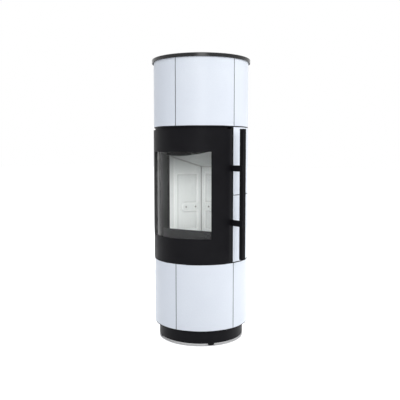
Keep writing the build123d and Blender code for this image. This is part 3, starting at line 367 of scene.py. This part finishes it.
def makeRope():
    # knitted glass fibre: two bands of strands that cross
    look = ropeLook
    mat, tree, shader = startMaterial("glassRope")
    strands = []
    for turn in (look["turn"], -look["turn"]):
        wave = tree.nodes.new("ShaderNodeTexWave")
        wave.inputs["Scale"].default_value = look["plait"]
        wave.inputs["Distortion"].default_value = look["distortion"]
        tree.links.new(objectPoint(tree, turn=(turn, turn, 0)), wave.inputs["Vector"])
        strands.append(wave.outputs["Fac"])
    plait = plainMath(tree, "MAXIMUM", *strands)
    shade = spread(tree, plait, 0, 1, look["gap"], 1)
    colour = blendColours(tree, shade, look["dark"], look["light"])
    tree.links.new(colour, shader.inputs["Base Color"])
    addBump(tree, shader, plait, *look["plaitBump"])
    setSockets(shader, rough=look["rough"], sheen=look["sheen"])
    return mat


finishes = {
    "glazed_tile": makeGlaze(),
    "black_steel": makePaint("stovePaint", stoveLook),
    "gloss_steel": makePaint("glossEnamel", glossLook),
    "grey_steel": makePaint("greyPlate", plateLook),
    "black_rubber": makePaint("footPlastic", plasticLook),
    "black_plastic": makePaint("knobPlastic", plasticLook),
    "lining_board": makeBoard(),
    "cast_iron": makeIron(),
    "zinc_steel": makeZinc(),
    "door_glass": makePane(),
    "glass_rope": makeRope(),
}
# pieces whose finish isn't their slot's own
heatPaint = makePaint("heatPaint", heatLook)
heatPainted = ("firebox_shell", "firebox_cheeks", "support_rails", "upper_baffle",
               "air_wash_deflector", "pedestal_shell", "tile_posts", "tile_clips",
               "firebox_front", "door_inner_frame", "glass_clips", "glass_clip_screws")
guardPaint = makePaint("guardPaint", guardLook)
guardPainted = ("log_guard", "ash_pan", "hinge_pins")

for part in frame["record"]["subparts"]:
    mat = finishes[part["material_slot"]]
    if part["node"] in heatPainted:
        mat = heatPaint
    if part["node"] in guardPainted:
        mat = guardPaint
    slots = nodes[part["node"]].data.materials
    slots.clear()
    slots.append(mat)


studio = {"floorSize": 60.0, "floorDrop": 0.0004, "floorColour": (0.86, 0.86, 0.86),
          "floorGlow": 0.86, "floorRough": 0.9, "floorSpecular": 0.1,
          "worldLight": (0.90, 0.93, 1.0), "worldStrength": 0.30,
          "white": (1, 1, 1), "whiteStrength": 1.0,
          "firstScatter": 0.5,  # between no matt bounce and one
          "insideReach": 1.0}  # a lamp nearer to the stove's axis stands inside the stove


def seenAsWhite(tree):
    # 1 for what the lens, a mirror or the glass shows, 0 for light that a matt surface gathers
    path = tree.nodes.new("ShaderNodeLightPath").outputs
    seen = plainMath(tree, "MAXIMUM", path["Is Camera Ray"], path["Is Glossy Ray"])
    seen = plainMath(tree, "MAXIMUM", seen, path["Is Transmission Ray"])
    unscattered = plainMath(tree, "LESS_THAN", path["Diffuse Depth"], studio["firstScatter"])
    return plainMath(tree, "MULTIPLY", seen, unscattered)


def makeFloor():
    bpy.ops.mesh.primitive_plane_add(size=studio["floorSize"],
                                     location=(0, 0, -studio["floorDrop"]))
    floor = bpy.context.object
    floor.name = "floor"
    mat, tree, shader = startMaterial("paleFloor")
    shader.inputs["Base Color"].default_value = (*studio["floorColour"], 1)
    setSockets(shader, rough=studio["floorRough"], specular=studio["floorSpecular"])
    shader.inputs["Emission Color"].default_value = (*studio["white"], 1)
    glow = plainMath(tree, "MULTIPLY", seenAsWhite(tree), studio["floorGlow"])
    tree.links.new(glow, shader.inputs["Emission Strength"])
    floor.data.materials.append(mat)


def makeWorld():
    world = bpy.data.worlds.new("studioWorld")
    scene.world = world
    world.use_nodes = True
    tree = world.node_tree
    tree.nodes.clear()
    out = tree.nodes.new("ShaderNodeOutputWorld")
    mix = tree.nodes.new("ShaderNodeMixShader")
    tree.links.new(seenAsWhite(tree), mix.inputs["Fac"])
    ambient = (studio["worldLight"], studio["worldStrength"])
    shown = (studio["white"], studio["whiteStrength"])
    for index, (colour, strength) in enumerate((ambient, shown), start=1):
        light = tree.nodes.new("ShaderNodeBackground")
        light.inputs["Color"].default_value = (*colour, 1)
        light.inputs["Strength"].default_value = strength
        tree.links.new(light.outputs["Background"], mix.inputs[index])
    tree.links.new(mix.outputs["Shader"], out.inputs["Surface"])


def onCircle(radius, azimuth, height):
    # azimuth 0 is in front of the door's middle, positive towards +X
    turn = math.radians(azimuth)
    return Vector((radius * math.sin(turn), -radius * math.cos(turn), height))


cameraLook = {"azimuth": 30.5, "distance": 3.0509, "height": 1.00995, "tilt": 4.879,
              "yaw": 0.105, "lens": 49.848, "sensor": 36, "farClip": 200}


def makeCamera():
    cam = bpy.data.cameras.new("photoCamera")
    cam.lens = cameraLook["lens"]
    cam.sensor_width = cameraLook["sensor"]
    cam.clip_end = cameraLook["farClip"]
    obj = bpy.data.objects.new("photoCamera", cam)
    scene.collection.objects.link(obj)
    azimuth = cameraLook["azimuth"]
    obj.location = onCircle(cameraLook["distance"], azimuth, cameraLook["height"])
    obj.rotation_euler = (math.radians(90 - cameraLook["tilt"]), 0,
                          math.radians(azimuth + cameraLook["yaw"]))
    scene.camera = obj


# azimuths are counted from the camera, positive to its right; aim is a height on the stove's axis
lamps = {
    "frontMiddle": {"azimuth": 2, "distance": 4.2, "height": 2.0, "aim": 0.8,
                    "size": (1.4, 1.6), "power": 30, "mirrored": True},
    "frontLeft": {"azimuth": -14, "distance": 4.2, "height": 1.5, "aim": 0.8,
                  "size": (1.6, 1.8), "power": 24, "mirrored": False},
    "keyRight": {"azimuth": 28, "distance": 4.0, "height": 2.4, "aim": 0.8,
                 "size": (1.2, 1.2), "power": 43, "mirrored": False},
    "sideRight": {"azimuth": 100, "distance": 3.6, "height": 1.2, "aim": 0.7,
                  "size": (2.6, 3.0), "power": 62, "mirrored": False},
    "sideLeft": {"azimuth": -100, "distance": 3.6, "height": 1.8, "aim": 0.8,
                 "size": (2.6, 3.0), "power": 22, "mirrored": False, "colour": (0.94, 0.96, 1.0)},
    "backSoft": {"azimuth": 180, "distance": 3.8, "height": 2.2, "aim": 0.8,
                 "size": (2.6, 2.4), "power": 140, "mirrored": False},
    # three small ones stand inside the stove, two behind the glass and one under the plinth
    "fireboxLeft": {"azimuth": -36, "distance": 0.2, "height": 0.76, "aim": 0.62,
                    "size": (0.03, 0.03), "power": 0.02, "mirrored": True},
    "fireboxRight": {"azimuth": 46, "distance": 0.135, "height": 0.72, "aim": 0.66,
                     "size": (0.05, 0.05), "power": 0.24, "mirrored": False},
    "plinthFill": {"azimuth": 0, "distance": 0, "height": 0.0145, "aim": 0,
                   "size": (0.43, 0.43), "power": 0.30, "mirrored": False},
}


def makeLamps():
    for name, look in lamps.items():
        light = bpy.data.lights.new(name, "AREA")
        light.shape = "ELLIPSE" if look["distance"] == 0 else "RECTANGLE"
        light.size, light.size_y = look["size"]
        light.energy = look["power"]
        light.color = look.get("colour", studio["white"])
        obj = bpy.data.objects.new(name, light)
        scene.collection.objects.link(obj)
        azimuth = cameraLook["azimuth"] + look["azimuth"]
        obj.location = onCircle(look["distance"], azimuth, look["height"])
        obj.visible_glossy = look["mirrored"]
        obj.visible_transmission = look["distance"] > studio["insideReach"]
        aim = Vector((0, 0, look["aim"])) - obj.location
        obj.rotation_euler = aim.to_track_quat("-Z", "Y").to_euler()


makeFloor()
makeWorld()
makeCamera()
makeLamps()
scene.view_settings.view_transform = "Standard"
print("studio ready")
